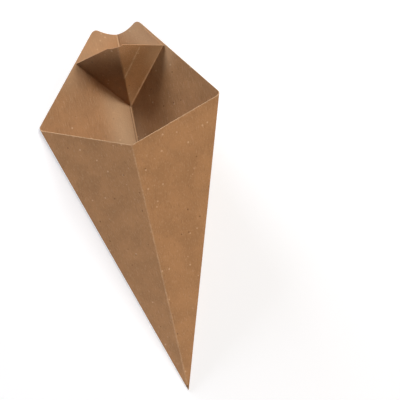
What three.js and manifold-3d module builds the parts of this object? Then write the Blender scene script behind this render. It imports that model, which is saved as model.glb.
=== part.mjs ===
// A french fries cone with a sauce pocket, folded and glued from one blank of kraft board.
//
// The blank is a fan of five panels around the tip: inner back left, front left, front right,
// back right and outer back left. The outer back left panel wraps over the inner one and is
// glued to it. The top corner of the inner back left panel is folded inwards and forwards, and
// carries a second panel whose tab is glued inside the back right panel: together they are the
// web that closes the sauce pocket off from the fries.
//
// The cone is drawn upright in millimetres, with its tip at the origin, its axis along +Z and
// its back towards +Y, and is then laid down on its outer back left panel, mouth towards +Y.

import * as THREE from 'three';
import { mergeVertices } from 'three/addons/utils/BufferGeometryUtils.js';
import Module from 'manifold-3d';

const wasm = await Module();
wasm.setup();

// Driving dimensions, in millimetres and degrees

const BOARD = 0.45; // thickness of one ply
const PRESS = 0.05; // how far glued plies are pressed into each other
const PANEL_ANGLE = 19.6; // between the two creases of each panel, at the tip
const OPEN_ANGLE = 17.6; // between the cone's axis and a side crease, as the cone stands open

const SIDE_CREASE = 155; // tip to the mouth's side corners
const FRONT_CREASE = 134; // tip to the middle of the front edge
const BACK_CREASE = 190; // tip to the bottom of the notch between the horns
const HORN_ALONG = 194.5; // place of a horn's sharp corner, along the back crease
const HORN_ACROSS = 12.6; // and across from it
const HORN_ROUND = 1.6; // length of edge that a horn's rounding takes, on each side
const TIP_BLUNT = 1; // length that the tip lacks of a sharp point
const TIP_FLOOR = 6; // and where the creases end inside it
const FRONT_TIP_TRIM = 3.2; // what the front panels are cut short at the tip

const SEAM_SETBACK = 1.6; // inner ply's cut edge to the back crease
const EDGE_DROP = 0.3; // inner plies end this much below the outer one's edge

const WEB_START = 151.5; // tip to the point on the back crease where the web begins
const WEB_SHOULDER = 41; // side corner to the web's outer end, along the back's top edge
const WEB_CREASE = 40; // length of the web's middle crease, without the dip
const WEB_DIP_REACH = 4; // shallow dip in the web's top edge, to each side of its crease
const WEB_DIP_DEPTH = 1.3;
const TAB_WIDTH = 15; // glue tab inside the back right panel
const TAB_SETBACK = 1.2; // its end to the back crease

const NOTCH_STEPS = 7; // straight steps of the notch's arc, on each side of the back crease
const ROUND_STEPS = 3; // straight steps of a horn's rounding and of half the web's dip
const WELD = 1e-5; // points closer than this are one point

// Directions of the creases in the open cone

const openAngle = THREE.MathUtils.degToRad(OPEN_ANGLE);
const panelAngle = THREE.MathUtils.degToRad(PANEL_ANGLE);
const depthAngle = Math.acos(Math.cos(panelAngle) / Math.cos(openAngle));
const toFront = new THREE.Vector3(0, -Math.sin(depthAngle), Math.cos(depthAngle));
const toBack = new THREE.Vector3(0, Math.sin(depthAngle), Math.cos(depthAngle));
const toLeft = new THREE.Vector3(-Math.sin(openAngle), 0, Math.cos(openAngle));
const toRight = new THREE.Vector3(Math.sin(openAngle), 0, Math.cos(openAngle));

// The planes of the panels. A point is drawn on one flat: along its front or back crease and
// across towards its side crease. Depth runs from the panel's outer face inwards.

const inside = new THREE.Vector3(0, 0, 1);

function panelPlane(along, side) {
  const across = side.clone().addScaledVector(along, -side.dot(along)).normalize();
  const inwards = new THREE.Vector3().crossVectors(along, across);
  inwards.multiplyScalar(Math.sign(inwards.dot(inside)));
  return { along, across, inwards };
}

const frontLeft = panelPlane(toFront, toLeft);
const frontRight = panelPlane(toFront, toRight);
const backLeft = panelPlane(toBack, toLeft);
const backRight = panelPlane(toBack, toRight);

function pointOn(plane, [along, across], depth) {
  return new THREE.Vector3()
    .addScaledVector(plane.along, along)
    .addScaledVector(plane.across, across)
    .addScaledVector(plane.inwards, depth);
}

// The step from a point on two planes' common line to given depths under both of them

function stepToDepths(inwardsA, depthA, inwardsB, depthB) {
  const cosine = inwardsA.dot(inwardsB);
  const scale = 1 / (1 - cosine ** 2);
  return new THREE.Vector3()
    .addScaledVector(inwardsA, (depthA - cosine * depthB) * scale)
    .addScaledVector(inwardsB, (depthB - cosine * depthA) * scale);
}

// Outlines, drawn flat

const sideCorner = [SIDE_CREASE * Math.cos(panelAngle), SIDE_CREASE * Math.sin(panelAngle)];
const horn = [HORN_ALONG, HORN_ACROSS];
const webRoot = [WEB_START, 0];

function from(start, end, distance) {
  const length = Math.hypot(end[0] - start[0], end[1] - start[1]);
  return start.map((value, i) => value + ((end[i] - value) * distance) / length);
}

const webShoulder = from(sideCorner, horn, WEB_SHOULDER);
const hingeSlope = (webShoulder[0] - webRoot[0]) / (webShoulder[1] - webRoot[1]);

// The same height above the hinge line, at another distance from the back crease

function alongHinge([along, across], newAcross) {
  return [along + (newAcross - across) * hingeSlope, newAcross];
}

function curve(start, control, end) {
  const points = [start, control, end].map((point) => new THREE.Vector2(...point));
  return new THREE.QuadraticBezierCurve(...points).getPoints(ROUND_STEPS).map(({ x, y }) => [x, y]);
}

// The notch is one arc through both horns and the end of the back crease. The outline runs
// from a side corner over its horn towards the back crease, without either end.

function hornAndNotch() {
  const rise = HORN_ALONG - BACK_CREASE;
  const radius = (rise ** 2 + HORN_ACROSS ** 2) / (2 * rise);
  const hornAngle = Math.asin(HORN_ACROSS / radius) - HORN_ROUND / radius;
  const onNotch = (angle) => [BACK_CREASE + radius * (1 - Math.cos(angle)), radius * Math.sin(angle)];
  const outline = curve(from(horn, sideCorner, HORN_ROUND), horn, onNotch(hornAngle));
  for (let i = NOTCH_STEPS - 1; i > 0; i -= 1) {
    outline.push(onNotch((hornAngle * i) / NOTCH_STEPS));
  }
  return outline;
}

// Solids

function solidFrom(geometry) {
  geometry.deleteAttribute('normal');
  geometry.deleteAttribute('uv');
  const merged = mergeVertices(geometry, WELD);
  const vertProperties = new Float32Array(merged.attributes.position.array);
  const triVerts = new Uint32Array(merged.index.array);
  return new wasm.Manifold(new wasm.Mesh({ numProp: 3, vertProperties, triVerts }));
}

// A sheet of flat facets that share creases. A facet is a ring of corners, counter-clockwise
// as seen from outside, and a corner is a pair of points, on the outer and on the inner face.

function foldedSheet(facets) {
  const corners = [...new Set(facets.flat())];
  const triangles = [];
  const sides = new Set();
  for (const facet of facets) {
    const ring = facet.map((corner) => corners.indexOf(corner));
    const points = facet.map(([outer]) => outer);
    const normal = new THREE.Vector3();
    points.forEach((point, i) => {
      normal.add(new THREE.Vector3().crossVectors(point, points[(i + 1) % points.length]));
    });
    normal.normalize();
    const u = points[1].clone().sub(points[0]).projectOnPlane(normal).normalize();
    const v = new THREE.Vector3().crossVectors(normal, u);
    const flat = points.map((point) => new THREE.Vector2(point.dot(u), point.dot(v)));
    for (const [a, b, c] of THREE.ShapeUtils.triangulateShape(flat, [])) {
      triangles.push([ring[a], ring[b], ring[c]]);
      triangles.push([ring[c], ring[b], ring[a]].map((i) => i + corners.length));
    }
    ring.forEach((corner, i) => sides.add(`${corner} ${ring[(i + 1) % ring.length]}`));
  }
  for (const side of sides) {
    const [a, b] = side.split(' ').map(Number);
    if (!sides.has(`${b} ${a}`)) {
      triangles.push([b, a, a + corners.length], [b, a + corners.length, b + corners.length]);
    }
  }
  const positions = [0, 1].flatMap((face) => corners.flatMap((corner) => corner[face].toArray()));
  const geometry = new THREE.BufferGeometry();
  geometry.setAttribute('position', new THREE.Float32BufferAttribute(positions, 3));
  geometry.setIndex(triangles.flat());
  return solidFrom(geometry);
}

// The wrap: front left, front right, back right and outer back left. The outer back left panel
// lies one board further out than the others, on the inner back left ply.

const wrapFaces = new Map([
  [frontLeft, [0, BOARD]],
  [frontRight, [0, BOARD]],
  [backRight, [0, BOARD]],
  [backLeft, [-BOARD, 0]],
]);

function creaseEnd(direction, lengths, planeA, planeB) {
  return [0, 1].map((face) => {
    const depthA = wrapFaces.get(planeA)[face];
    const depthB = wrapFaces.get(planeB)[face];
    const step = stepToDepths(planeA.inwards, depthA, planeB.inwards, depthB);
    return direction.clone().multiplyScalar(lengths[face]).add(step);
  });
}

function creaseEnds(direction, length, planeA, planeB) {
  return {
    top: creaseEnd(direction, [length, length], planeA, planeB),
    tip: creaseEnd(direction, [TIP_BLUNT, TIP_FLOOR], planeA, planeB),
  };
}

function wrap() {
  const left = creaseEnds(toLeft, SIDE_CREASE, backLeft, frontLeft);
  const front = creaseEnds(toFront, FRONT_CREASE, frontLeft, frontRight);
  const right = creaseEnds(toRight, SIDE_CREASE, frontRight, backRight);
  const back = creaseEnds(toBack, BACK_CREASE, backRight, backLeft);
  const edgeOf = (plane) =>
    hornAndNotch().map((point) => wrapFaces.get(plane).map((depth) => pointOn(plane, point, depth)));
  return foldedSheet([
    [left.tip, front.tip, front.top, left.top],
    [front.tip, right.tip, right.top, front.top],
    [right.tip, back.tip, back.top, ...edgeOf(backRight).reverse(), right.top],
    [back.tip, left.tip, left.top, ...edgeOf(backLeft), back.top],
    [front.tip, left.tip, back.tip, right.tip],
  ]);
}

// The front panels end a little above the tip.

function frontTipCut() {
  const box = new THREE.BoxGeometry(SIDE_CREASE, SIDE_CREASE, FRONT_TIP_TRIM * 2);
  return solidFrom(box.translate(0, -SIDE_CREASE / 2 - PRESS, 0));
}

// A flat ply that is glued on the inner face of another one, from one depth to a second

function gluedPly(plane, outline, fromDepth, toDepth) {
  const shape = new THREE.Shape(outline.map(([along, across]) => new THREE.Vector2(along, across)));
  const geometry = new THREE.ExtrudeGeometry(shape, { depth: toDepth - fromDepth, bevelEnabled: false });
  const normal = new THREE.Vector3().crossVectors(plane.along, plane.across);
  geometry.translate(0, 0, normal.dot(plane.inwards) > 0 ? fromDepth : -toDepth);
  return solidFrom(geometry.applyMatrix4(new THREE.Matrix4().makeBasis(plane.along, plane.across, normal)));
}

// The inner ply ends within the front left panel's thickness, at the seam by the back crease
// and at the web's hinge.

function innerBackLeft() {
  const sideInset = BOARD / Math.cos(panelAngle);
  const tipEnd = [(SEAM_SETBACK + sideInset) / Math.tan(panelAngle), SEAM_SETBACK];
  const corner = from(sideCorner, webRoot, sideInset);
  const outline = [
    tipEnd,
    alongHinge(webRoot, SEAM_SETBACK),
    from(webShoulder, webRoot, EDGE_DROP),
    [sideCorner[0] - EDGE_DROP, corner[1] - sideInset],
  ];
  return gluedPly(backLeft, outline, -PRESS, BOARD);
}

function glueTab() {
  const shoulder = from(webShoulder, webRoot, EDGE_DROP);
  const farEnd = from(shoulder, from(horn, webRoot, EDGE_DROP), TAB_WIDTH);
  const outline = [alongHinge(shoulder, TAB_SETBACK), shoulder, farEnd, alongHinge(farEnd, TAB_SETBACK)];
  return gluedPly(backRight, outline, BOARD - PRESS, 2 * BOARD - PRESS);
}

// The web hangs on the inner faces of both back panels. Its middle crease is the back crease
// mirrored in the plane of its two hinge lines, so that it folds flat with the cone.

function web() {
  const hingeDepth = BOARD - 2 * PRESS;
  const toRoot = stepToDepths(backLeft.inwards, hingeDepth, backRight.inwards, hingeDepth);
  const root = pointOn(backLeft, webRoot, 0).add(toRoot);
  const shoulders = [backLeft, backRight].map((plane) =>
    pointOn(plane, from(webShoulder, webRoot, 2 * EDGE_DROP), hingeDepth),
  );
  const middle = shoulders[0].clone().add(shoulders[1]).divideScalar(2).sub(root).normalize();
  const crease = toBack.clone().reflect(middle).negate();
  const peak = root.clone().addScaledVector(crease, WEB_CREASE);
  const floor = root.clone().addScaledVector(crease, WEB_CREASE - WEB_DIP_DEPTH);
  const normals = shoulders.map((shoulder) => {
    const normal = new THREE.Vector3().crossVectors(crease, shoulder.clone().sub(root)).normalize();
    return normal.multiplyScalar(Math.sign(normal.dot(toFront) - normal.dot(toBack)));
  });
  const creaseStep = stepToDepths(normals[0], BOARD, normals[1], BOARD);
  const onCrease = (point) => [point.clone().add(creaseStep), point];
  const rootCorner = onCrease(root);
  const floorCorner = onCrease(floor);
  const facets = shoulders.map((shoulder, i) => {
    const dipEnd = peak.clone().lerp(shoulder, WEB_DIP_REACH / peak.distanceTo(shoulder));
    const control = floor.clone().lerp(dipEnd, 0.5).addScaledVector(crease, -WEB_DIP_DEPTH / 2);
    const dip = new THREE.QuadraticBezierCurve3(dipEnd, control, floor).getPoints(ROUND_STEPS);
    const edge = [shoulder, ...dip.slice(0, -1)];
    const corners = edge.map((point) => [point.clone().addScaledVector(normals[i], BOARD), point]);
    return [rootCorner, ...corners, floorCorner];
  });
  return foldedSheet([facets[0].reverse(), facets[1]]);
}

// The folded and glued sheet

const sheet = wrap().subtract(frontTipCut()).add(innerBackLeft()).add(glueTab()).add(web()).getMesh();
const geometry = new THREE.BufferGeometry();
geometry.setAttribute('position', new THREE.BufferAttribute(sheet.vertProperties, 3));
geometry.setIndex(new THREE.BufferAttribute(sheet.triVerts, 1));
geometry.computeVertexNormals();

const kraftBoard = new THREE.MeshStandardMaterial({
  color: 0xb98d64,
  roughness: 0.88,
  metalness: 0,
  flatShading: true,
});
const friesCone = new THREE.Mesh(geometry, kraftBoard);
friesCone.name = 'fries_cone';

// Laid down: the outer back left panel faces the ground and the cone points along Y. The
// origin is on the ground, under the middle of the cone's bounding box.

const up = backLeft.inwards;
const sideways = new THREE.Vector3().crossVectors(inside, up).normalize();
const lengthways = new THREE.Vector3().crossVectors(up, sideways);
friesCone.quaternion.setFromRotationMatrix(new THREE.Matrix4().makeBasis(sideways, lengthways, up)).invert();
const lying = new THREE.Box3().setFromObject(friesCone, true);
const centre = lying.getCenter(new THREE.Vector3());
friesCone.position.set(-centre.x, -centre.y, -lying.min.z);

const cone = new THREE.Group();
cone.add(friesCone);

export default cone;
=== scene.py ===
"""A french fries cone: one sheet of kraft board, folded and glued, with a sauce pocket at its back.

The cone lies on its outer back left panel, mouth towards +Y. Its board is modelled as two fans:
one turned about the tip, through the back, right, front and left creases, and one turned about
the point where the web starts. Both get the board's thickness and become one piece.
"""

from math import acos, atan2, ceil, cos, pi, radians, sin

import bmesh
import bpy
from bpy.props import FloatProperty, FloatVectorProperty, PointerProperty
from mathutils import Matrix, Vector


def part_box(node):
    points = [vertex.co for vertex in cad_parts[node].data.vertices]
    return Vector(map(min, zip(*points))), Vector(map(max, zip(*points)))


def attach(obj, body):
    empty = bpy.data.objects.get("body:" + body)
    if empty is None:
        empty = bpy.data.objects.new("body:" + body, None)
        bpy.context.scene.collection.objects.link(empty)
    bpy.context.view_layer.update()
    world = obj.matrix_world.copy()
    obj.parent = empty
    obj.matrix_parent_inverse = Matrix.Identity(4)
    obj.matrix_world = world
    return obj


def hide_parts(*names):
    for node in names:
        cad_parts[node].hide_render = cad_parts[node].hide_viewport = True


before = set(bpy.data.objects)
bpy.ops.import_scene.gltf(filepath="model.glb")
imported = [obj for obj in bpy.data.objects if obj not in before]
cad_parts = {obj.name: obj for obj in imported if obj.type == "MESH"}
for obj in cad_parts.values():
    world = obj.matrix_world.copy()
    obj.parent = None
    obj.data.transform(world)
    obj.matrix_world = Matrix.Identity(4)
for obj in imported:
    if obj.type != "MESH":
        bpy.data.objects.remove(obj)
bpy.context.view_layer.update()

bl_info = {
    "name": "French fries cone",
    "version": (1, 0, 0),
    "blender": (4, 5, 0),
    "location": "View3D > Sidebar > Fries cone",
    "description": "Folds a kraft board cone for french fries and sets it on a pale floor",
    "category": "Add Mesh",
}

NODE = "fries_cone"
PIECE = "folded_board"

# How finely the sheets are divided
WRAP_SPACING = radians(1.6)
WEB_SPACING = radians(4)
SMALLEST_TURN = radians(0.006)
WRAP_RINGS = 26
WEB_RINGS = 14
FOLD_STEPS = 4
NOTCH_STEPS = 10
HORN_STEPS = 5
DIP_STEPS = 6
SMOOTH_ANGLE = radians(20)

# Cosines between a face's direction and a panel's: about alike, in one plane, and far apart
ALIKE = 0.9
ONE_PLANE = 0.9995
APART = 0.2

# How strongly the mottling shows on a face and on a cut edge
FACE_MOTTLING = {"Cloud": 0.10, "Grain": 0.055, "Fibre": 0.22, "Fleck": 0.7}
EDGE_MOTTLING = {"Cloud": 0.03, "Grain": 0.16, "Fibre": 0.35, "Fleck": 0.3}

# Tilt of all fibres, the flat share of a fleck, and how far pale fibres stand up
FIBRE_TILT = (0.3, 0.2)
FLECK_CORE = 0.5
FIBRE_RELIEF = 0.5

BOARD_ROUGHNESS = 0.55
BOARD_SPECULAR = 0.22
RELIEF_STRENGTH = 0.35
RELIEF_HEIGHT = 0.00006
FLOOR_ROUGHNESS = 0.9
SENSOR_WIDTH = 36
WHITE = (1, 1, 1, 1)


def number(name, description, default, unit="NONE"):
    """A setting that is a plain number."""
    return FloatProperty(name=name, description=description, default=default, unit=unit)


def length(name, description, default):
    """A setting in metres."""
    return FloatProperty(name=name, description=description, default=default, unit="LENGTH",
                         subtype="DISTANCE", precision=5)


def angle(name, description, default):
    """A setting whose default is given in degrees."""
    return FloatProperty(name=name, description=description, default=radians(default),
                         subtype="ANGLE")


def spot(name, description, default):
    """A setting that is a point, in metres."""
    return FloatVectorProperty(name=name, description=description, default=default,
                               size=len(default), subtype="XYZ", unit="LENGTH")


def colour(name, description, default):
    """A setting that is a colour."""
    return FloatVectorProperty(name=name, description=description, default=default, size=3,
                               subtype="COLOR", min=0.0, max=1.0)


class ConeSizes(bpy.types.PropertyGroup):
    """Sizes of the folded cone"""

    board: length("Board", "Thickness of one ply", 0.00045)
    glue_gap: length("Glue gap", "Between the glued back plies", 0.00002)
    panel_angle: angle("Panel angle", "Between a panel's two creases, at the tip", 19.6)
    open_angle: angle("Open angle", "Between the cone's axis and a side crease", 17.6)
    side_crease: length("Side crease", "Tip to a side corner", 0.155)
    front_crease: length("Front crease", "Tip to the middle of the front edge", 0.134)
    back_crease: length("Back crease", "Tip to the bottom of the notch", 0.190)
    horn_along: length("Horn along", "A horn's corner, along the back crease", 0.1945)
    horn_across: length("Horn across", "A horn's corner, across from the back crease", 0.0126)
    horn_round: length("Horn round", "Length of edge that a horn's rounding takes", 0.0034)
    tip_blunt: length("Blunt tip", "What the tip lacks of a sharp point", 0.0004)
    tip_share: number("Thin tip", "Share of the board's thickness that is left at the tip", 0.15)
    front_trim: length("Front trim", "What the front panels are cut short at the tip", 0.0032)
    seam_setback: length("Seam setback", "Inner ply's cut edge to the back crease", 0.0016)
    edge_drop: length("Edge drop", "Inner ply's top edge below the outer one's", 0.0003)
    free_edge: angle("Free edge", "From the left crease to the outer ply's free edge", 0.5)
    fold_side: angle("Side fold", "Half the width of a side crease's round", 0.8)
    fold_middle: angle("Middle fold", "Half the width of the front or back crease's round", 0.35)
    web_start: length("Web start", "Tip to the point where the web begins", 0.1515)
    web_shoulder: length("Web shoulder", "Side corner to the web's outer end", 0.041)
    web_crease: length("Web crease", "Length of the web's middle crease", 0.040)
    web_fold: angle("Web fold", "Half the width of a web crease's round", 1.2)
    dip_left: length("Dip left", "Reach of the dip in the web's top edge, left", 0.0065)
    dip_right: length("Dip right", "Reach of the dip in the web's top edge, right", 0.0030)
    dip_depth: length("Dip depth", "Depth of the dip in the web's top edge", 0.0016)
    tab_depth: length("Tab depth", "Outer face of the right panel to the tab's outer face", 0.0009)
    tab_width: length("Tab width", "Glue tab inside the back right panel", 0.015)
    tab_setback: length("Tab setback", "Tab's end to the back crease", 0.0012)


class WearAndLightPlaces(bpy.types.PropertyGroup):
    """Places of lines on the web, and of painted sheen, highlights and shade by the seam"""

    # Painted highlight: a pale line on the groove floor beside the back crease, where light falls
    seam_highlight_line: length("Seam line", "Back crease to the pale line beside it", 0.0011)
    # Painted shade: dark lines at the inner ply's cut edge and in the back crease's corner
    seam_step_shade: length("Seam step", "Back crease to the dark line at the seam's step", 0.0018)
    crease_shade_line: length("Crease line", "Back crease to the dark line in its corner", 0.0005)
    crease_shade_depth: length("Crease depth", "Depth of the dark line in the back crease", 0.0004)
    # Painted sheen: a broad pale zone on the back left panel beside the seam
    sheen_line: length("Sheen line", "Back crease to the pale zone beside the seam", 0.007)
    sheen_start: length("Sheen start", "Tip to the start of the pale zone", 0.130)
    sheen_end: length("Sheen end", "Tip to the end of the pale zone", 0.156)
    # Painted light: broad pale zones on the back panels above the web, where they catch more light
    left_light_start: spot("Left start", "Pale zone above the web, along and across",
                          (0.172, 0.030))
    left_light_end: spot("Left end", "End of the left pale zone above the web", (0.194, 0.004))
    right_light_start: spot("Right start", "Pale zone above the web, along and across",
                           (0.174, 0.022))
    right_light_end: spot("Right end", "End of the right pale zone above the web",
                         (0.194, 0.006))
    hinge_in_web: number("Hinge in web", "Hinge line's depth in the web, in boards", 0.9)
    hinge_in_panel: number("Hinge in panel", "Hinge line's depth in the panel, in boards", 1.7)
    faint_start: number("Faint start", "Where the faint crease starts, up the middle crease", 0.5)
    faint_up: number("Faint up", "Where the faint crease ends, up the middle crease", 0.53)
    faint_out: number("Faint out", "Where the faint crease ends, out along the hinge", 0.45)


class ConeColours(bpy.types.PropertyGroup):
    """Colours of the kraft board"""

    kraft: colour("Kraft", "Board's face", (0.420, 0.215, 0.094))
    # The pale colour also paints the highlights, sheen and pale zones of light beside the seam
    kraft_pale: colour("Pale fibres", "Worn folds and pale fibres", (0.660, 0.440, 0.262))
    # The dark colour also paints the shade lines at the seam's step and in the back crease
    kraft_dark: colour("Dark fibres", "Specks and dark fibres", (0.185, 0.085, 0.035))
    cut_edge: colour("Cut edge", "Raw edge of the board", (0.560, 0.360, 0.205))


class StageSizes(bpy.types.PropertyGroup):
    """Camera, lights and floor"""

    camera_place: spot("Camera", "Place of the camera", (-0.15441, 0.00209, 0.44415))
    camera_aim: spot("Aim", "Point in the middle of the picture", (0.02521, -0.00235, 0.02))
    camera_roll: angle("Roll", "Turn of the camera about its view", 76.59)
    lens: number("Lens", "Focal length in millimetres", 81.0, "CAMERA")
    floor: length("Floor", "Width of the floor", 6.0)
    floor_colour: colour("Floor colour", "Colour of the floor", (0.77, 0.79, 0.83))
    floor_glow: number("Floor glow", "Glow of the floor where the camera sees it", 0.36)
    world_level: number("World", "Strength of the even light", 0.02)
    light_aim: spot("Light aim", "Point that all lights face", (0.0, 0.03, 0.02))
    key_place: spot("Key place", "Place of the main light", (0.58, 0.41, 0.84))
    key_size: length("Key size", "Width of the main light", 0.35)
    key_power: number("Key power", "Power of the main light", 6.8, "POWER")
    key_tint: colour("Key tint", "Colour of the main light", (1.0, 0.99, 0.93))
    back_place: spot("Back place", "Place of the low light past the mouth", (-0.30, 0.82, 0.22))
    back_size: length("Back size", "Width of the low light past the mouth", 0.3)
    back_power: number("Back power", "Power of the low light past the mouth", 7.1, "POWER")
    back_tint: colour("Back tint", "Colour of the low light past the mouth", (0.88, 0.92, 1.0))
    side_place: spot("Side place", "Place of the warm light beside the cone", (0.55, 0.0, 0.95))
    side_size: length("Side size", "Width of the warm light beside the cone", 0.35)
    side_power: number("Side power", "Power of the warm light beside the cone", 1.4, "POWER")
    side_tint: colour("Side tint", "Colour of the warm light beside the cone", (1.0, 0.6, 0.3))
    tip_place: spot("Tip place", "Place of the low light behind the tip", (-0.23, -0.84, 0.22))
    tip_size: length("Tip size", "Width of the low light behind the tip", 0.3)
    tip_power: number("Tip power", "Power of the low light behind the tip", 5.4, "POWER")
    tip_tint: colour("Tip tint", "Colour of the low light behind the tip", (0.97, 0.97, 1.0))


# Flat outlines of the panels, each point along and across from a panel's front or back crease


def stepped(start, end, distance):
    """The point at a distance from the start, on the way to the end."""
    return start.lerp(end, distance / (end - start).length)


def bend(a, b, c, steps):
    """Points of a quadratic curve from a to c, steered by b."""
    shares = [i / steps for i in range(steps + 1)]
    return [a * (1 - s) ** 2 + b * (2 * s * (1 - s)) + c * s ** 2 for s in shares]


def side_corner(size):
    """The top of a side crease."""
    reach = size.side_crease
    return Vector((reach * cos(size.panel_angle), reach * sin(size.panel_angle)))


def horn_corner(size):
    """A horn's corner, before it is rounded."""
    return Vector((size.horn_along, size.horn_across))


def back_outline(size):
    """From the notch's bottom over the horn to the side corner."""
    horn = horn_corner(size)
    rise = size.horn_along - size.back_crease
    radius = (rise ** 2 + size.horn_across ** 2) / (2 * rise)
    horn_angle = atan2(size.horn_across, radius - rise) - size.horn_round / radius
    arc = [horn_angle * i / NOTCH_STEPS for i in range(NOTCH_STEPS + 1)]
    notch = [Vector((size.back_crease + radius * (1 - cos(a)), radius * sin(a))) for a in arc]
    corner = side_corner(size)
    rounding = bend(notch[-1], horn, stepped(horn, corner, size.horn_round), HORN_STEPS)
    return notch + rounding[1:] + [corner]


def shoulder_point(size, drop):
    """The web's outer end on a back panel's edge, dropped towards the point where it starts."""
    shoulder = stepped(side_corner(size), horn_corner(size), size.web_shoulder)
    return stepped(shoulder, Vector((size.web_start, 0)), drop)


def inner_outline(size):
    """The inner back ply, from the point where the web starts to the side corner."""
    root = Vector((size.web_start, 0))
    corner = side_corner(size) - Vector((size.edge_drop, 0))
    return [root, shoulder_point(size, size.edge_drop), corner]


def front_outline(size):
    """A front panel's straight edge, from the front crease to the side corner."""
    return [Vector((size.front_crease, 0)), side_corner(size)]


def reach_at(outline, turn):
    """Distance from the fan's middle to the outline, at an angle from the crease."""
    ray = Vector((cos(turn), sin(turn)))
    for a, b in zip(outline, outline[1:]):
        before, after = ray.cross(a), ray.cross(b)
        if before * after <= 0 and before != after:
            return a.lerp(b, before / (before - after)).length
    ends = [outline[0], outline[-1]]
    return min(ends, key=lambda end: abs(ray.cross(end))).length


# Directions of the creases, with the cone laid down


def crease_directions(size):
    """The four creases and the cone's axis, with the back left panel flat on the ground."""
    depth = acos(cos(size.panel_angle) / cos(size.open_angle))
    upright = {
        "front": Vector((0, -sin(depth), cos(depth))),
        "back": Vector((0, sin(depth), cos(depth))),
        "left": Vector((-sin(size.open_angle), 0, cos(size.open_angle))),
        "right": Vector((sin(size.open_angle), 0, cos(size.open_angle))),
    }
    axis = Vector((0, 0, 1))
    up = upright["back"].cross(upright["left"]).normalized()
    up = up if up.dot(axis) > 0 else -up
    sideways = axis.cross(up).normalized()
    turn = Matrix((sideways, up.cross(sideways), up))
    return {name: turn @ way for name, way in upright.items()}, turn @ axis


class Panel:
    """A flat panel between a front or back crease and a side crease."""

    def __init__(self, along, side, axis):
        self.along = along
        self.across = (side - along * side.dot(along)).normalized()
        inwards = along.cross(self.across)
        self.inwards = inwards if inwards.dot(axis) > 0 else -inwards

    def way(self, turn):
        """The direction in the panel at an angle from its crease."""
        return self.along * cos(turn) + self.across * sin(turn)

    def point(self, flat, depth=0.0):
        """The point at a place of the flat panel, at a depth under its outer face."""
        return self.along * flat[0] + self.across * flat[1] + self.inwards * depth


def cone_panels(size):
    """The creases' directions, the cone's axis and its four panels."""
    ways, axis = crease_directions(size)
    panels = {
        "back_left": Panel(ways["back"], ways["left"], axis),
        "back_right": Panel(ways["back"], ways["right"], axis),
        "front_left": Panel(ways["front"], ways["left"], axis),
        "front_right": Panel(ways["front"], ways["right"], axis),
    }
    return ways, axis, panels


def depth_step(panel_a, depth_a, panel_b, depth_b):
    """From a point on the line that two panels share to a depth under each of them."""
    a, b = panel_a.inwards, panel_b.inwards
    cosine = a.dot(b)
    scale = 1 / (1 - cosine ** 2)
    return (a * (depth_a - cosine * depth_b) + b * (depth_b - cosine * depth_a)) * scale


# Fans: sheets turned about a point, one line of points after the other


class Knot:
    """One line of a fan: its middle, its direction and its reach."""

    def __init__(self, middle, way, reach):
        self.middle = middle
        self.way = way.normalized()
        self.reach = reach


def panel_knots(panel, outline, first, last, middle, spacing):
    """Lines across a flat panel, one at each corner of its outline and others in between."""
    low, high = min(first, last), max(first, last)
    turns = [atan2(p.y, p.x) for p in outline]
    inside = [t for t in turns if low + SMALLEST_TURN < t < high - SMALLEST_TURN]
    stops = sorted([low, high] + inside)
    fine = []
    for a, b in zip(stops, stops[1:]):
        steps = max(1, ceil((b - a) / spacing))
        fine += [a + (b - a) * i / steps for i in range(steps)]
    fine.append(high)
    if first > last:
        fine.reverse()
    return [Knot(middle, panel.way(t), reach_at(outline, t)) for t in fine]


def fold_knots(before, crease, after):
    """Lines of the round between two panels, without its first and last one."""
    control = crease.way / max(crease.way.dot(before.way), crease.way.dot(after.way))
    halfway = (before.middle + after.middle) / 2
    ways = bend(before.way, control, after.way, FOLD_STEPS)
    middles = bend(before.middle, halfway, after.middle, FOLD_STEPS)
    reaches = bend(before.reach, crease.reach, after.reach, FOLD_STEPS)
    return [Knot(*parts) for parts in zip(middles, ways, reaches)][1:-1]


def joined_knots(stretches, creases):
    """The lines of flat panels and of the rounds between them, in one list."""
    knots = list(stretches[0])
    for crease, stretch in zip(creases, stretches[1:]):
        knots += fold_knots(knots[-1], crease, stretch[0]) + stretch
    return knots


def new_piece(name, surfaces):
    """An empty mesh at the origin, with materials for the outside, inside and cut edges."""
    bpy.ops.object.select_all(action="DESELECT")
    bpy.ops.object.add(type="MESH", location=(0, 0, 0))
    piece = bpy.context.object
    piece.name = piece.data.name = name
    for surface in surfaces:
        piece.data.materials.append(surface)
    bpy.ops.object.mode_set(mode="EDIT")
    return piece


def pick(piece, test):
    """Selects the vertices that pass a test."""
    mesh = bmesh.from_edit_mesh(piece.data)
    for vertex in mesh.verts:
        vertex.select_set(test(vertex.co))
    mesh.select_flush(True)
    mesh.select_flush(False)
    bmesh.update_edit_mesh(piece.data)


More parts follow.
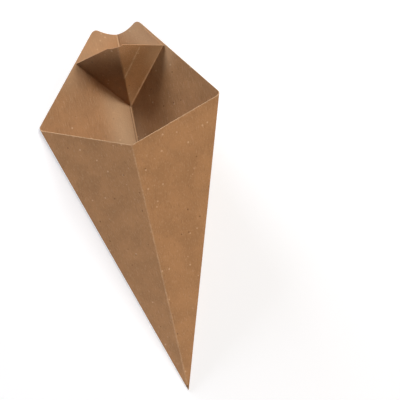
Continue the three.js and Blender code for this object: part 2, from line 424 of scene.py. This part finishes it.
def fan(name, surfaces, knots, start, rings):
    """A sheet whose first line is one side of a plane. The others are spun from it."""
    piece = new_piece(name, surfaces)
    first = knots[0]
    heading = atan2(first.way.y, first.way.x) - pi / 2
    span = first.reach - start
    sidewards = Vector((cos(heading), sin(heading), 0))
    centre = first.middle + first.way * (start + span / 2) + sidewards * span / 2
    bpy.ops.mesh.primitive_plane_add(size=span, location=centre, rotation=(0, 0, heading))
    pick(piece, lambda co: (co - first.middle).dot(sidewards) > span / 2)
    bpy.ops.mesh.delete(type="VERT")
    bpy.ops.mesh.select_all(action="SELECT")
    bpy.ops.mesh.subdivide(number_cuts=rings - 1)
    for now, then in zip(knots, knots[1:]):
        turn = now.way.angle(then.way)
        bpy.ops.mesh.spin(steps=1, angle=-turn, center=now.middle, axis=now.way.cross(then.way))
        growth = then.reach / now.reach
        bpy.ops.transform.resize(value=(growth, growth, growth), center_override=now.middle)
        if then.middle != now.middle:
            bpy.ops.transform.translate(value=then.middle - now.middle)
    return piece


def face_out(piece, outwards):
    """Turns all faces over if the first one doesn't face outwards."""
    mesh = bmesh.from_edit_mesh(piece.data)
    mesh.faces.ensure_lookup_table()
    mesh.normal_update()
    turned = mesh.faces[0].normal.dot(outwards) < 0
    bpy.ops.mesh.select_all(action="SELECT")
    if turned:
        bpy.ops.mesh.flip_normals()


def cut_away(piece, point, normal, test):
    """Cuts the faces that pass a test along a plane, and clears what lies before it."""
    mesh = bmesh.from_edit_mesh(piece.data)
    for face in mesh.faces:
        face.select_set(test(face))
    bmesh.update_edit_mesh(piece.data)
    bpy.ops.mesh.bisect(plane_co=point, plane_no=normal, clear_outer=True)


# The cone's two sheets, and both as one piece


def add_board(piece, thickness):
    """A modifier, still to be applied, that gives a sheet its thickness inwards."""
    bpy.ops.object.mode_set(mode="OBJECT")
    solid = piece.modifiers.new("board", "SOLIDIFY")
    solid.thickness = thickness
    solid.offset = -1
    solid.use_even_offset = False
    solid.use_rim = True
    solid.material_offset = 1
    solid.material_offset_rim = 2
    return solid


def trim_fronts(piece, size, axis, panels):
    """Cuts the two front panels short at the tip."""
    ground = panels["back_left"].inwards
    fronts = (panels["front_left"].inwards, panels["front_right"].inwards)

    def is_front(face):
        on_back = face.normal.dot(-ground) >= APART
        return not on_back and max(face.normal.dot(-front) for front in fronts) > ALIKE

    cut_away(piece, axis * size.front_trim, -axis, is_front)


def trim_seam(piece, size, seam):
    """Cuts the inner back left ply short, beside the back crease."""
    clearance = (size.board + size.glue_gap) / 2

    def is_inner(face):
        flat = abs(face.normal.dot(seam.inwards)) > ONE_PLANE
        return flat and face.calc_center_median().dot(seam.inwards) > -clearance

    cut_away(piece, seam.across * size.seam_setback, -seam.across, is_inner)


def make_wrap(size, surfaces):
    """The five panels of the fan, from the outer back left one to the inner one."""
    ways, axis, panels = cone_panels(size)
    seam = panels["back_left"]
    tip = Vector((0, 0, 0))
    under = tip - seam.inwards * (size.board + size.glue_gap)
    whole = size.panel_angle
    side, middle = size.fold_side, size.fold_middle
    back, front, inner = back_outline(size), front_outline(size), inner_outline(size)
    stretches = [
        panel_knots(panel, outline, first, last, centre, WRAP_SPACING)
        for panel, outline, first, last, centre in (
            (seam, back, whole - size.free_edge, middle, under),
            (panels["back_right"], back, middle, whole - side, tip),
            (panels["front_right"], front, whole - side, middle, tip),
            (panels["front_left"], front, middle, whole - side, tip),
            (seam, inner, whole - side, 0.0, tip),
        )
    ]
    creases = [
        Knot(tip, ways["back"], size.back_crease),
        Knot(tip, ways["right"], size.side_crease),
        Knot(tip, ways["front"], size.front_crease),
        Knot(tip, ways["left"], size.side_crease),
    ]
    piece = fan("wrap", surfaces, joined_knots(stretches, creases), size.tip_blunt, WRAP_RINGS)
    face_out(piece, -seam.inwards)
    trim_fronts(piece, size, axis, panels)
    trim_seam(piece, size, seam)
    thick = piece.vertex_groups.new(name="full_thickness")
    pick(piece, lambda co: co.length > size.front_trim)
    bpy.context.scene.tool_settings.vertex_group_weight = 1.0
    bpy.ops.object.vertex_group_assign()
    solid = add_board(piece, size.board)
    solid.vertex_group = thick.name
    solid.thickness_vertex_group = size.tip_share
    bpy.ops.object.modifier_apply(modifier=solid.name)
    return piece


def web_folds(size, ways, panels):
    """Where the web starts, its two outer ends and the way of its middle crease."""
    left, right = panels["back_left"], panels["back_right"]
    root = left.point((size.web_start, 0)) + depth_step(left, 0.0, right, size.tab_depth)
    shoulder = shoulder_point(size, 2 * size.edge_drop)
    ends = [left.point(shoulder), right.point(shoulder, size.tab_depth)]
    middle = ((ends[0] + ends[1]) / 2 - root).normalized()
    crease = (2 * ways["back"].dot(middle) * middle - ways["back"]).normalized()
    return root, ends, crease


def web_outline(size, web, reach, dip):
    """Half of the web's top edge, from the bottom of its dip to its outer end."""
    floor = Vector((size.web_crease - size.dip_depth, 0))
    peak = Vector((size.web_crease, 0))
    end = Vector((reach.dot(web.along), reach.dot(web.across)))
    dip_end = stepped(peak, end, dip)
    control = floor.lerp(dip_end, 0.5) - Vector((size.dip_depth / 2, 0))
    return bend(floor, control, dip_end, DIP_STEPS) + [end]


def tab_outline(size):
    """The glue tab about the web's start: its far corners and the end of its hinge."""
    shoulder = shoulder_point(size, 2 * size.edge_drop)
    root = Vector((size.web_start, 0))
    hinge = shoulder - root
    far_end = stepped(shoulder, horn_corner(size), size.tab_width) - root
    slope = hinge.x / hinge.y
    far_inner = Vector((far_end.x + (size.tab_setback - far_end.y) * slope, size.tab_setback))
    return [far_inner, far_end, hinge]


def make_web(size, surfaces):
    """The folded web, with its glue tab."""
    ways, _, panels = cone_panels(size)
    root, ends, crease = web_folds(size, ways, panels)
    reaches = [end - root for end in ends]
    webs = [Panel(crease, reach, ways["front"]) for reach in reaches]
    dips = (size.dip_left, size.dip_right)
    left, right = [web_outline(size, *parts) for parts in zip(webs, reaches, dips)]
    tab = tab_outline(size)
    left_turn, right_turn = (atan2(outline[-1].y, outline[-1].x) for outline in (left, right))
    tab_start, tab_end = (atan2(corner.y, corner.x) for corner in (tab[-1], tab[0]))
    fold = size.web_fold
    stretches = [
        panel_knots(panel, outline, first, last, root, WEB_SPACING)
        for panel, outline, first, last in (
            (webs[0], left, left_turn, fold),
            (webs[1], right, fold, right_turn - fold),
            (panels["back_right"], tab, tab_start - fold, tab_end),
        )
    ]
    creases = [
        Knot(root, crease, size.web_crease - size.dip_depth),
        Knot(root, reaches[1], reaches[1].length),
    ]
    piece = fan("web", surfaces, joined_knots(stretches, creases), size.board, WEB_RINGS)
    face_out(piece, ways["back"] - ways["front"])
    solid = add_board(piece, size.board)
    bpy.ops.object.modifier_apply(modifier=solid.name)
    return piece


def make_board(size, surfaces):
    """The whole cone, moved onto the CAD solid's box, and where its tip has come to be."""
    wrap = make_wrap(size, surfaces)
    inside = surfaces[1]
    web = make_web(size, (inside, inside, inside))
    bpy.ops.object.select_all(action="DESELECT")
    web.select_set(True)
    wrap.select_set(True)
    bpy.context.view_layer.objects.active = wrap
    bpy.ops.object.join()
    piece = bpy.context.object
    piece.name = piece.data.name = PIECE
    low = [min(v.co[i] for v in piece.data.vertices) for i in range(3)]
    high = [max(v.co[i] for v in piece.data.vertices) for i in range(3)]
    cad_low, cad_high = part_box(NODE)
    shift = Vector((
        (cad_low.x + cad_high.x - low[0] - high[0]) / 2,
        (cad_low.y + cad_high.y - low[1] - high[1]) / 2,
        cad_low.z - low[2],
    ))
    bpy.ops.object.mode_set(mode="EDIT")
    bpy.ops.mesh.select_all(action="SELECT")
    bpy.ops.transform.translate(value=shift)
    bpy.ops.object.mode_set(mode="OBJECT")
    bpy.ops.object.shade_smooth_by_angle(angle=SMOOTH_ANGLE)
    return piece, shift


# Materials


class Graph:
    """Adds nodes to a node tree and links them."""

    def __init__(self, tree):
        self.nodes = tree.nodes
        self.links = tree.links

    def feed(self, socket, value):
        """Links a socket to another one, or sets its value."""
        if isinstance(value, bpy.types.NodeSocket):
            self.links.new(value, socket)
        else:
            socket.default_value = value

    def add(self, kind, inputs, **settings):
        """A new node, with its settings made before its inputs are fed."""
        node = self.nodes.new("ShaderNode" + kind)
        for name, value in settings.items():
            setattr(node, name, value)
        for socket, value in inputs.items():
            self.feed(node.inputs[socket], value)
        return node

    def value(self, operation, first, second=0.0, third=0.0):
        """A number worked out from others."""
        return self.add("Math", {0: first, 1: second, 2: third}, operation=operation).outputs[0]

    def vector(self, operation, inputs, output="Vector"):
        """A vector or a number worked out from vectors."""
        return self.add("VectorMath", inputs, operation=operation).outputs[output]

    def noise(self, vector, scale, detail, roughness=0.5):
        """Soft noise around one half."""
        inputs = {"Vector": vector, "Scale": scale, "Detail": detail, "Roughness": roughness}
        return self.add("TexNoise", inputs).outputs["Fac"]

    def spread(self, value, low, high, to_low=0.0, to_high=1.0):
        """Turns the range from low to high into another one, softly at its ends."""
        inputs = {"Value": value, "From Min": low, "From Max": high, "To Min": to_low,
                  "To Max": to_high}
        return self.add("MapRange", inputs, interpolation_type="SMOOTHSTEP").outputs["Result"]

    def mix(self, share, first, second):
        """A colour between two others."""
        node = self.nodes.new("ShaderNodeMix")
        node.data_type = "RGBA"
        self.feed(node.inputs[0], share)
        self.feed(node.inputs[6], first)
        self.feed(node.inputs[7], second)
        return node.outputs[2]


def new_group(name, inputs, outputs):
    """A shader node group with named sockets, open for nodes."""
    tree = bpy.data.node_groups.new(name, "ShaderNodeTree")
    for label, kind in inputs.items():
        tree.interface.new_socket(name=label, in_out="INPUT", socket_type="NodeSocket" + kind)
    for label, kind in outputs.items():
        tree.interface.new_socket(name=label, in_out="OUTPUT", socket_type="NodeSocket" + kind)
    graph = Graph(tree)
    return tree, graph, graph.nodes.new("NodeGroupInput"), graph.nodes.new("NodeGroupOutput")


def fibre_mask(graph, place, turn, across, along):
    """Thin fibres that lie one way: noise that is stretched along them."""
    inputs = {"Vector": place, "Rotation": (*FIBRE_TILT, radians(turn)),
              "Scale": (across, along, across)}
    stretched = graph.add("Mapping", inputs).outputs[0]
    return graph.spread(graph.noise(stretched, scale=1.0, detail=1.0), low=0.6, high=0.74)


def fleck_mask(graph, place, scale, reach):
    """Small round dots in about half of the cells."""
    cells = graph.add("TexVoronoi", {"Vector": place, "Scale": scale})
    dot = graph.spread(cells.outputs["Distance"], low=FLECK_CORE * reach, high=reach,
                       to_low=1.0, to_high=0.0)
    chosen = graph.spread(cells.outputs["Color"], low=0.5, high=0.62)
    return graph.value("MULTIPLY", dot, chosen)


def fibre_group():
    """Clouds, grain, long fibres, pale flecks and dark specks of kraft board."""
    tree, graph, given, result = new_group(
        "kraft_fibres",
        {"Vector": "Vector", "Kraft": "Color", "Pale": "Color", "Dark": "Color",
         "Cloud": "Float", "Grain": "Float", "Fibre": "Float", "Fleck": "Float"},
        {"Color": "Color", "Height": "Float"})
    place = given.outputs["Vector"]
    clouds = graph.noise(place, scale=75.0, detail=4.0, roughness=0.6)
    grains = graph.noise(place, scale=1300.0, detail=4.0, roughness=0.7)
    cloud = graph.spread(clouds, low=0.3, high=0.7, to_low=-1.0)
    grain = graph.spread(grains, low=0.25, high=0.75, to_low=-1.0)
    shade = graph.value("MULTIPLY_ADD", cloud, given.outputs["Cloud"], 1.0)
    shade = graph.value("MULTIPLY_ADD", grain, given.outputs["Grain"], shade)
    base = graph.vector("SCALE", {0: given.outputs["Kraft"], "Scale": shade})
    pale_fibres = graph.value("MAXIMUM",
                              fibre_mask(graph, place, turn=25, across=2100.0, along=260.0),
                              fibre_mask(graph, place, turn=115, across=1900.0, along=300.0))
    dark_fibres = fibre_mask(graph, place, turn=70, across=1500.0, along=200.0)
    pale_flecks = fleck_mask(graph, place, scale=260.0, reach=0.17)
    dark_specks = fleck_mask(graph, place, scale=200.0, reach=0.12)
    pale = graph.value("MULTIPLY", pale_fibres, given.outputs["Fibre"])
    pale = graph.value("MULTIPLY_ADD", pale_flecks, given.outputs["Fleck"], pale)
    dark = graph.value("MULTIPLY", dark_fibres, given.outputs["Fibre"])
    dark = graph.value("MULTIPLY_ADD", dark_specks, given.outputs["Fleck"], dark)
    with_pale = graph.mix(pale, base, given.outputs["Pale"])
    graph.feed(result.inputs["Color"], graph.mix(dark, with_pale, given.outputs["Dark"]))
    height = graph.value("MULTIPLY_ADD", pale_fibres, FIBRE_RELIEF, grain)
    graph.feed(result.inputs["Height"], height)
    return tree


def wear_and_light_group():
    """Strength of a rubbed fold or rim, or of painted light or shade: a line from a point along a
    way, ragged by its patches.
    """
    tree, graph, given, result = new_group(
        "fold_wear_and_painted_light",
        {"Vector": "Vector", "From": "Vector", "Way": "Vector", "Reach": "Float",
         "Width": "Float", "Strength": "Float", "Patches": "Float"},
        {"Mask": "Float"})
    place, way = given.outputs["Vector"], given.outputs["Way"]
    patches = given.outputs["Patches"]
    start = graph.vector("SUBTRACT", {0: place, 1: given.outputs["From"]})
    along = graph.vector("DOT_PRODUCT", {0: start, 1: way}, output="Value")
    held = graph.value("MINIMUM", graph.value("MAXIMUM", along, 0.0), given.outputs["Reach"])
    foot = graph.vector("SCALE", {0: way, "Scale": held})
    gap = graph.vector("DISTANCE", {0: start, 1: foot}, output="Value")
    fray = graph.noise(place, scale=1100.0, detail=2.0)
    frayed = graph.spread(fray, low=0.3, high=0.7, to_low=-0.55, to_high=0.4)
    ragged = graph.value("MULTIPLY_ADD", frayed, patches, 1.0)
    width = graph.value("MULTIPLY", given.outputs["Width"], ragged)
    near = graph.spread(gap, low=0.0, high=width, to_low=1.0, to_high=0.0)
    spots = graph.noise(place, scale=420.0, detail=3.0, roughness=0.6)
    bare = graph.spread(spots, low=0.4, high=0.6, to_low=-0.55, to_high=0.0)
    patchy = graph.value("MULTIPLY_ADD", bare, patches, 1.0)
    mask = graph.value("MULTIPLY", near, patchy)
    mask = graph.value("MULTIPLY", mask, given.outputs["Strength"])
    graph.feed(result.inputs["Mask"], mask)
    return tree


class WearAndPaintedLightLine:
    """A line along which the board is pale or dark, from rubbing or as painted light or shade, and
    how wide, strong and patchy it is.
    """

    def __init__(self, start, end, width, strength, patches):
        self.start = start
        self.way = (end - start).normalized()
        self.reach = (end - start).length
        self.width = width
        self.strength = strength
        self.patches = patches


def opaque(tint):
    """A colour for a socket, which takes a fourth number."""
    return (*tint, 1.0)


def new_surface(name):
    """A material with its own node tree."""
    surface = bpy.data.materials.new(name)
    surface.use_nodes = True
    return surface


def line_mask(graph, place, wear_and_light_tree, lines):
    """The strongest of the masks of some lines."""
    whole = 0.0
    for line in lines:
        inputs = {"Vector": place, "From": line.start, "Way": line.way, "Reach": line.reach,
                  "Width": line.width, "Strength": line.strength, "Patches": line.patches}
        mask = graph.add("Group", inputs, node_tree=wear_and_light_tree).outputs["Mask"]
        whole = graph.value("MAXIMUM", mask, whole)
    return whole


def paint_board(surface, colours, base, mottling, groups, pale_lines, dark_lines):
    """Kraft board: fibres, pale rubbed lines and painted highlights, painted shade lines, and a
    fine relief.
    """
    fibres, wear_and_light_tree = groups
    pale, dark = opaque(colours.kraft_pale), opaque(colours.kraft_dark)
    graph = Graph(surface.node_tree)
    place = graph.add("TexCoord", {}).outputs["Object"]
    inputs = {"Vector": place, "Kraft": opaque(base), "Dark": dark, "Pale": pale, **mottling}
    board = graph.add("Group", inputs, node_tree=fibres)
    # Pale lines are rubbed folds and rims, painted highlights and sheen; dark lines are painted
    # shade
    wear_and_highlight = line_mask(graph, place, wear_and_light_tree, pale_lines)
    painted_shade = line_mask(graph, place, wear_and_light_tree, dark_lines)
    tint = graph.mix(wear_and_highlight, board.outputs["Color"], pale)
    tint = graph.mix(painted_shade, tint, dark)
    relief = graph.add("Bump", {"Height": board.outputs["Height"], "Strength": RELIEF_STRENGTH,
                                "Distance": RELIEF_HEIGHT})
    shader = graph.nodes["Principled BSDF"]
    graph.feed(shader.inputs["Base Color"], tint)
    graph.feed(shader.inputs["Normal"], relief.outputs["Normal"])
    shader.inputs["Roughness"].default_value = BOARD_ROUGHNESS
    shader.inputs["Specular IOR Level"].default_value = BOARD_SPECULAR


def outer_wear(size, tip):
    """The four folds and the front panels' rim, all rubbed pale."""
    ways, _, panels = cone_panels(size)
    front = tip + ways["front"] * size.front_crease
    left = tip + ways["left"] * size.side_crease
    right = tip + ways["right"] * size.side_crease
    back = tip + ways["back"] * size.back_crease
    inwards = panels["front_left"].inwards + panels["front_right"].inwards
    rim = inwards.normalized() * size.board / 2
    return [
        WearAndPaintedLightLine(tip, front, width=0.0007, strength=0.5, patches=1.0),
        WearAndPaintedLightLine(tip, left, width=0.0006, strength=0.4, patches=1.0),
        WearAndPaintedLightLine(tip, right, width=0.0006, strength=0.4, patches=1.0),
        WearAndPaintedLightLine(tip, back, width=0.0006, strength=0.3, patches=1.0),
        WearAndPaintedLightLine(left + rim, front + rim, width=0.0006, strength=0.7, patches=0.8),
        WearAndPaintedLightLine(front + rim, right + rim, width=0.0006, strength=0.7, patches=0.8),
    ]


def web_wear_and_highlight(size, places, tip):
    """The web's middle crease, its right hinge and the faint crease on its right half."""
    ways, _, panels = cone_panels(size)
    root, ends, crease = web_folds(size, ways, panels)
    fries_side = ways["front"] - ways["back"]
    left, right = [Panel(crease, end - root, fries_side) for end in ends]
    board = size.board
    start, end = tip + root, tip + ends[1]
    peak = start + crease * (size.web_crease - size.dip_depth)
    hinge = depth_step(right, places.hinge_in_web * board,
                       panels["back_right"], places.hinge_in_panel * board)
    valley = depth_step(left, board, right, board)
    on_web = right.inwards * board
    faint_start = start.lerp(peak, places.faint_start) + on_web
    faint_reach = (peak - start) * places.faint_up + (end - start) * places.faint_out
    faint_end = start + faint_reach + on_web
    return [
        WearAndPaintedLightLine(start + valley, peak + valley, width=0.0005, strength=0.35, patches=1.0),
        # Pale hinge line: partly a rubbed fold, partly a painted highlight where its ridge catches
        # light
        WearAndPaintedLightLine(start + hinge, end + hinge, width=0.0009, strength=1.0, patches=0.6),
        WearAndPaintedLightLine(faint_start, faint_end, width=0.0009, strength=0.65, patches=1.0),
    ]


def seam_painted_light(size, places, tip):
    """Painted light: a highlight in the groove and a sheen beside the seam, and pale zones of light
    above the web.
    """
    _, _, panels = cone_panels(size)
    left, right = panels["back_left"], panels["back_right"]
    line = tip + left.across * places.seam_highlight_line
    sheen = tip + left.across * places.sheen_line + left.inwards * size.board
    painted_light_left = [tip + left.point(flat) for flat in (places.left_light_start, places.left_light_end)]
    painted_light_right = [tip + right.point(flat) for flat in (places.right_light_start,
                                                       places.right_light_end)]
    return [
        # Painted highlight on the groove floor beside the back crease
        WearAndPaintedLightLine(line, line + left.along * size.horn_along, width=0.0007, strength=0.9,
                 patches=0.3),
        # Painted sheen beside the seam
        WearAndPaintedLightLine(sheen + left.along * places.sheen_start, sheen + left.along * places.sheen_end,
                 width=0.014, strength=0.6, patches=0.0),
        # Painted light on the back panels above the web
        WearAndPaintedLightLine(*painted_light_left, width=0.014, strength=0.3, patches=0.0),
        WearAndPaintedLightLine(*painted_light_right, width=0.014, strength=0.55, patches=0.0),
    ]


def seam_shade(size, places, tip):
    """Painted shade: dark lines at the seam's step and in the back crease's corner."""
    _, _, panels = cone_panels(size)
    left = panels["back_left"]
    step = tip + left.across * places.seam_step_shade + left.inwards * size.board / 2
    corner = tip + left.across * places.crease_shade_line + left.inwards * places.crease_shade_depth
    return [
        # Painted shade at the seam's step and in the back crease's corner
        WearAndPaintedLightLine(step, step + left.along * size.web_start, width=0.0006, strength=0.9,
                 patches=0.3),
        WearAndPaintedLightLine(corner, corner + left.along * size.horn_along, width=0.0005, strength=0.7,
                 patches=0.3),
    ]


class FRIES_OT_board(bpy.types.Operator):
    """Fold the kraft board cone"""

    bl_idname = "fries.board"
    bl_label = "Folded board"

    def execute(self, context):
        size = context.scene.cone_sizes
        places = context.scene.cone_wear
        colours = context.scene.cone_colours
        names = ("kraft_outside", "kraft_inside", "kraft_cut_edge")
        outside, inside, edge = surfaces = [new_surface(name) for name in names]
        piece, tip = make_board(size, surfaces)
        groups = fibre_group(), wear_and_light_group()
        outer = outer_wear(size, tip)
        inner = outer + web_wear_and_highlight(size, places, tip) + seam_painted_light(size, places, tip)
        dark = seam_shade(size, places, tip)
        paint_board(outside, colours, colours.kraft, FACE_MOTTLING, groups, outer, [])
        paint_board(inside, colours, colours.kraft, FACE_MOTTLING, groups, inner, dark)
        paint_board(edge, colours, colours.cut_edge, EDGE_MOTTLING, groups, [], [])
        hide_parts(NODE)
        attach(piece, "root")
        return {"FINISHED"}


# Stage


def add_area_light(name, place, aim, size, power, tint):
    """A square light that faces a point."""
    bpy.ops.object.light_add(type="AREA", location=place)
    light = bpy.context.object
    light.name = light.data.name = name
    light.data.size = size
    light.data.energy = power
    light.data.color = tint
    light.rotation_euler = (Vector(aim) - Vector(place)).to_track_quat("-Z", "Y").to_euler()


def seen_rays(graph):
    """1 where the camera sees it, also in a reflection or through glass."""
    path = graph.add("LightPath", {})
    seen = graph.value("MAXIMUM", path.outputs["Is Camera Ray"], path.outputs["Is Glossy Ray"])
    return graph.value("MAXIMUM", seen, path.outputs["Is Transmission Ray"])


def make_floor(stage):
    """A wide matt floor, which glows a little where it is seen."""
    bpy.ops.mesh.primitive_plane_add(size=stage.floor, location=(0, 0, 0))
    floor = bpy.context.object
    floor.name = floor.data.name = "floor"
    material = new_surface("pale_floor")
    graph = Graph(material.node_tree)
    shader = graph.nodes["Principled BSDF"]
    shader.inputs["Base Color"].default_value = opaque(stage.floor_colour)
    shader.inputs["Roughness"].default_value = FLOOR_ROUGHNESS
    shader.inputs["Emission Color"].default_value = WHITE
    glow = graph.value("MULTIPLY", seen_rays(graph), stage.floor_glow)
    graph.feed(shader.inputs["Emission Strength"], glow)
    floor.data.materials.append(material)


def make_world(level):
    """An even light at a low level, which is white where it is seen."""
    world = bpy.data.worlds.new("studio")
    bpy.context.scene.world = world
    world.use_nodes = True
    graph = Graph(world.node_tree)
    background = graph.nodes["Background"]
    background.inputs["Color"].default_value = WHITE
    strength = graph.value("MULTIPLY_ADD", seen_rays(graph), 1.0 - level, level)
    graph.feed(background.inputs["Strength"], strength)


def add_camera(stage):
    """The camera, rolled about its view, with plain colours."""
    bpy.ops.object.camera_add(location=stage.camera_place)
    camera = bpy.context.object
    camera.name = camera.data.name = "camera"
    view = Vector(stage.camera_aim) - Vector(stage.camera_place)
    turn = view.to_track_quat("-Z", "Y").to_matrix() @ Matrix.Rotation(stage.camera_roll, 3, "Z")
    camera.rotation_euler = turn.to_euler()
    camera.data.lens = stage.lens
    camera.data.sensor_width = SENSOR_WIDTH
    bpy.context.scene.camera = camera
    bpy.context.scene.view_settings.view_transform = "Standard"


class FRIES_OT_stage(bpy.types.Operator):
    """Set the floor, the lights and the camera"""

    bl_idname = "fries.stage"
    bl_label = "Stage"

    def execute(self, context):
        stage = context.scene.cone_stage
        aim = stage.light_aim
        make_floor(stage)
        make_world(stage.world_level)
        add_area_light("key_light", stage.key_place, aim, stage.key_size, stage.key_power,
                       stage.key_tint)
        add_area_light("back_light", stage.back_place, aim, stage.back_size, stage.back_power,
                       stage.back_tint)
        add_area_light("side_light", stage.side_place, aim, stage.side_size, stage.side_power,
                       stage.side_tint)
        add_area_light("tip_light", stage.tip_place, aim, stage.tip_size, stage.tip_power,
                       stage.tip_tint)
        add_camera(stage)
        return {"FINISHED"}


class FRIES_PT_panel(bpy.types.Panel):
    """Sizes, colours and steps of the fries cone"""

    bl_idname = "FRIES_PT_panel"
    bl_label = "Fries cone"
    bl_space_type = "VIEW_3D"
    bl_region_type = "UI"
    bl_category = "Fries cone"

    def draw(self, context):
        for group in GROUPS:
            settings = getattr(context.scene, group)
            box = self.layout.box()
            for name in settings.__annotations__:
                box.prop(settings, name)
        for step in STEPS:
            self.layout.operator(step.bl_idname)


STEPS = (FRIES_OT_board, FRIES_OT_stage)
GROUPS = {
    "cone_sizes": ConeSizes,
    "cone_wear": WearAndLightPlaces,
    "cone_colours": ConeColours,
    "cone_stage": StageSizes,
}
CLASSES = (*GROUPS.values(), *STEPS, FRIES_PT_panel)


def register():
    for each in CLASSES:
        bpy.utils.register_class(each)
    for name, group in GROUPS.items():
        setattr(bpy.types.Scene, name, PointerProperty(type=group))


def unregister():
    for name in GROUPS:
        delattr(bpy.types.Scene, name)
    for each in reversed(CLASSES):
        bpy.utils.unregister_class(each)


def main():
    register()
    bpy.ops.fries.board()
    bpy.ops.fries.stage()
    bpy.context.view_layer.update()


if __name__ == "__main__":
    main()
